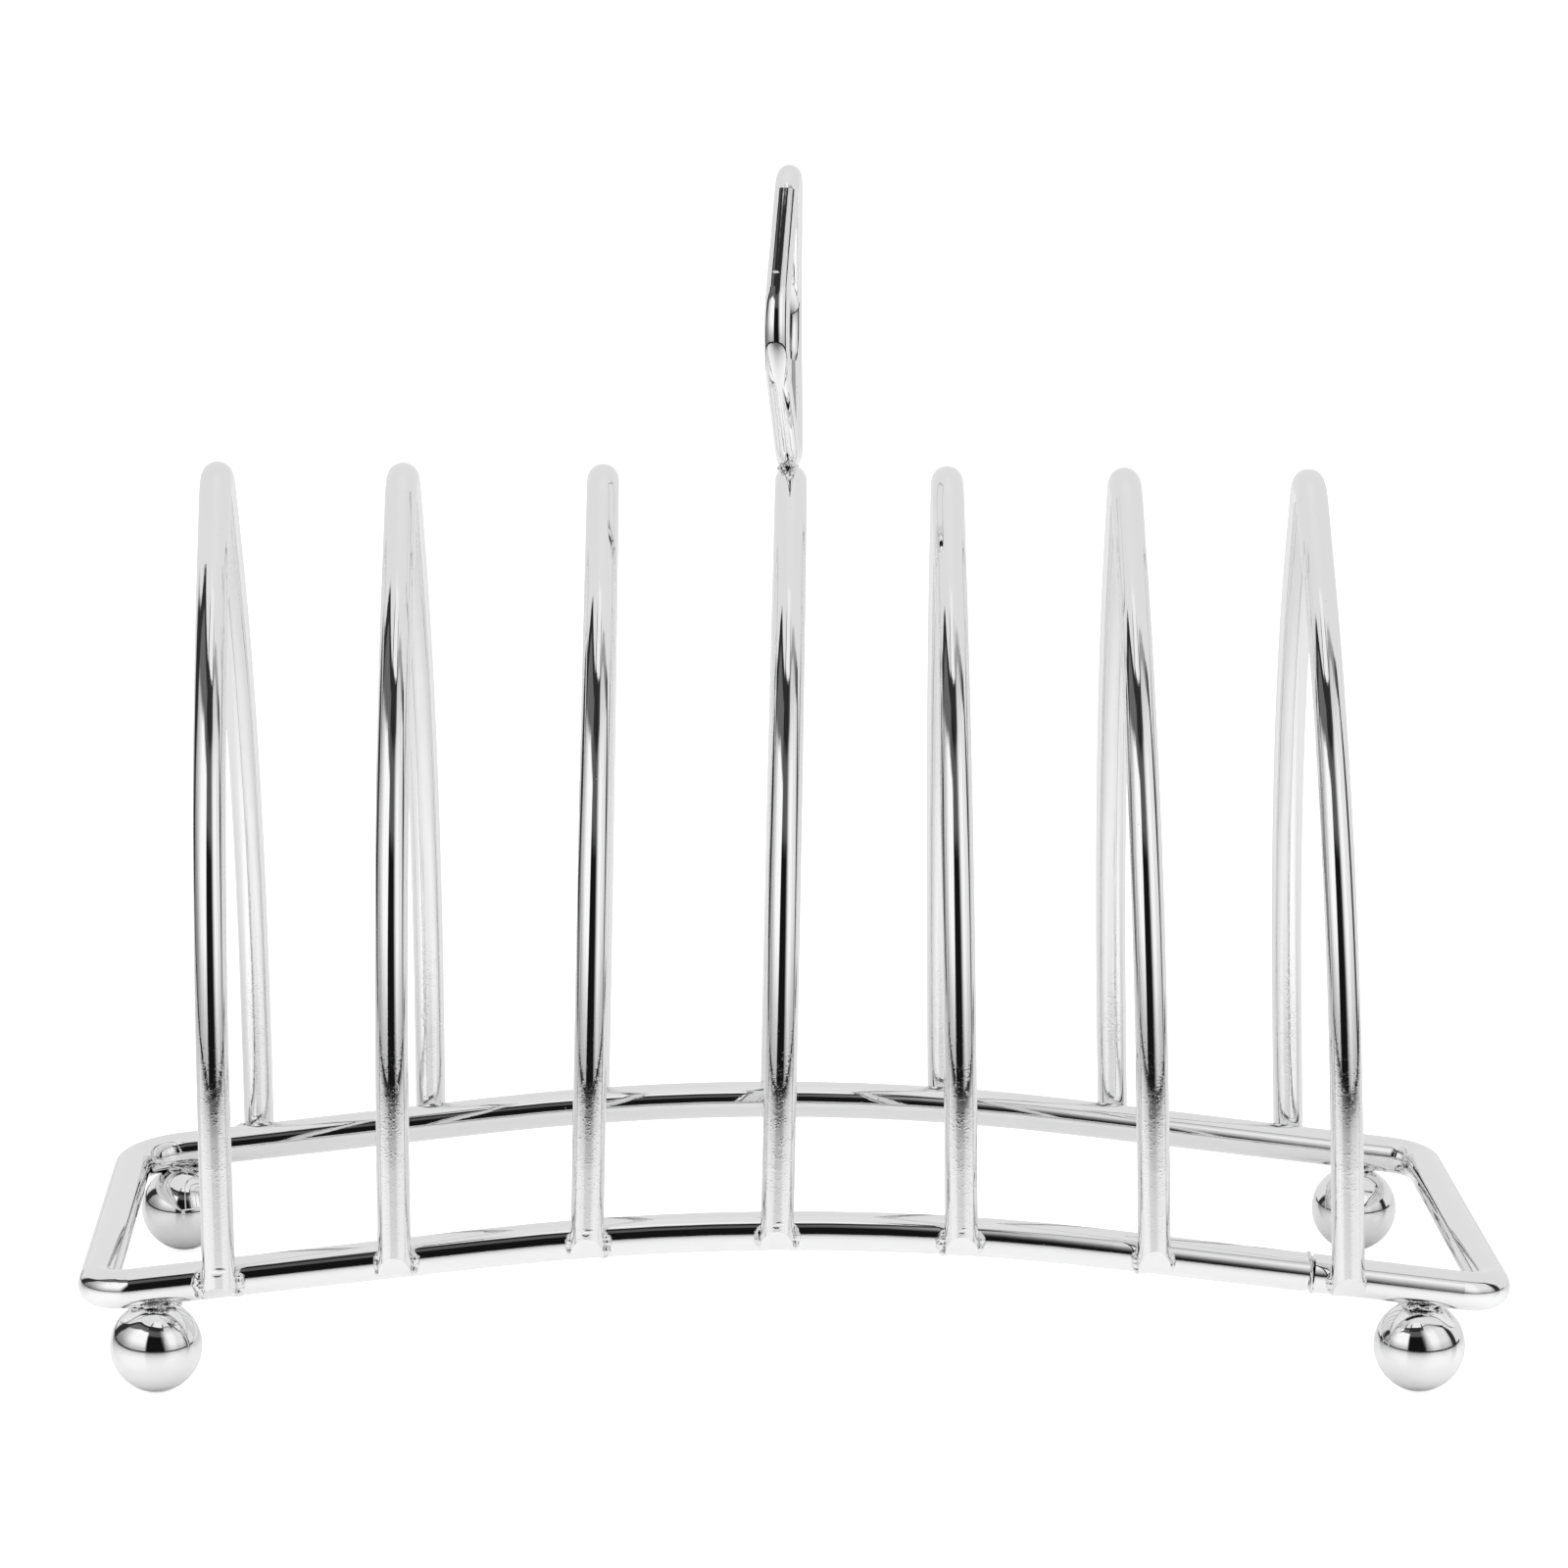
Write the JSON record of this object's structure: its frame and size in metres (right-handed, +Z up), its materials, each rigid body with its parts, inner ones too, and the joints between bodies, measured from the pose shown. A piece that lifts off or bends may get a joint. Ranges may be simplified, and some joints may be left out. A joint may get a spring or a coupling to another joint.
{
  "type": "toast rack",
  "caption": "Chromed wire toast rack: pointed arch dividers across an arched base loop on ball feet, with a diamond loop handle on top.",
  "frame": {"origin": "on the surface the rack stands on, under the middle of the base loop", "axes": "+X along the rack, across the slots; +Y from the front rail to the back rail; +Z up, towards the handle"},
  "size_m": [0.1844, 0.082, 0.1542],
  "materials": {
    "chrome_frame": "bright chrome plate on steel wire",
    "chrome_dividers": "bright chrome plate on drawn wire, faintly pitted near the welds",
    "chrome_handle": "bright chrome plate on steel wire, light scratches",
    "chrome_feet": "bright chrome plate on steel balls",
    "chrome_weld": "chrome plate over rough weld metal"
  },
  "bodies": {
    "root": {"base_butt_weld": "chrome_weld", "base_frame": "chrome_frame", "divider_1": "chrome_dividers", "divider_1_weld_back": "chrome_weld", "divider_1_weld_front": "chrome_weld", "divider_2": "chrome_dividers", "divider_2_weld_back": "chrome_weld", "divider_2_weld_front": "chrome_weld", "divider_3": "chrome_dividers", "divider_3_weld_back": "chrome_weld", "divider_3_weld_front": "chrome_weld", "divider_4": "chrome_dividers", "divider_4_weld_back": "chrome_weld", "divider_4_weld_front": "chrome_weld", "divider_5": "chrome_dividers", "divider_5_weld_back": "chrome_weld", "divider_5_weld_front": "chrome_weld", "divider_6": "chrome_dividers", "divider_6_weld_back": "chrome_weld", "divider_6_weld_front": "chrome_weld", "divider_7": "chrome_dividers", "divider_7_weld_back": "chrome_weld", "divider_7_weld_front": "chrome_weld", "foot_back_left": "chrome_feet", "foot_back_left_weld": "chrome_weld", "foot_back_right": "chrome_feet", "foot_back_right_weld": "chrome_weld", "foot_front_left": "chrome_feet", "foot_front_left_weld": "chrome_weld", "foot_front_right": "chrome_feet", "foot_front_right_weld": "chrome_weld", "handle": "chrome_handle", "handle_weld": "chrome_weld"}
  },
  "joints": []
}
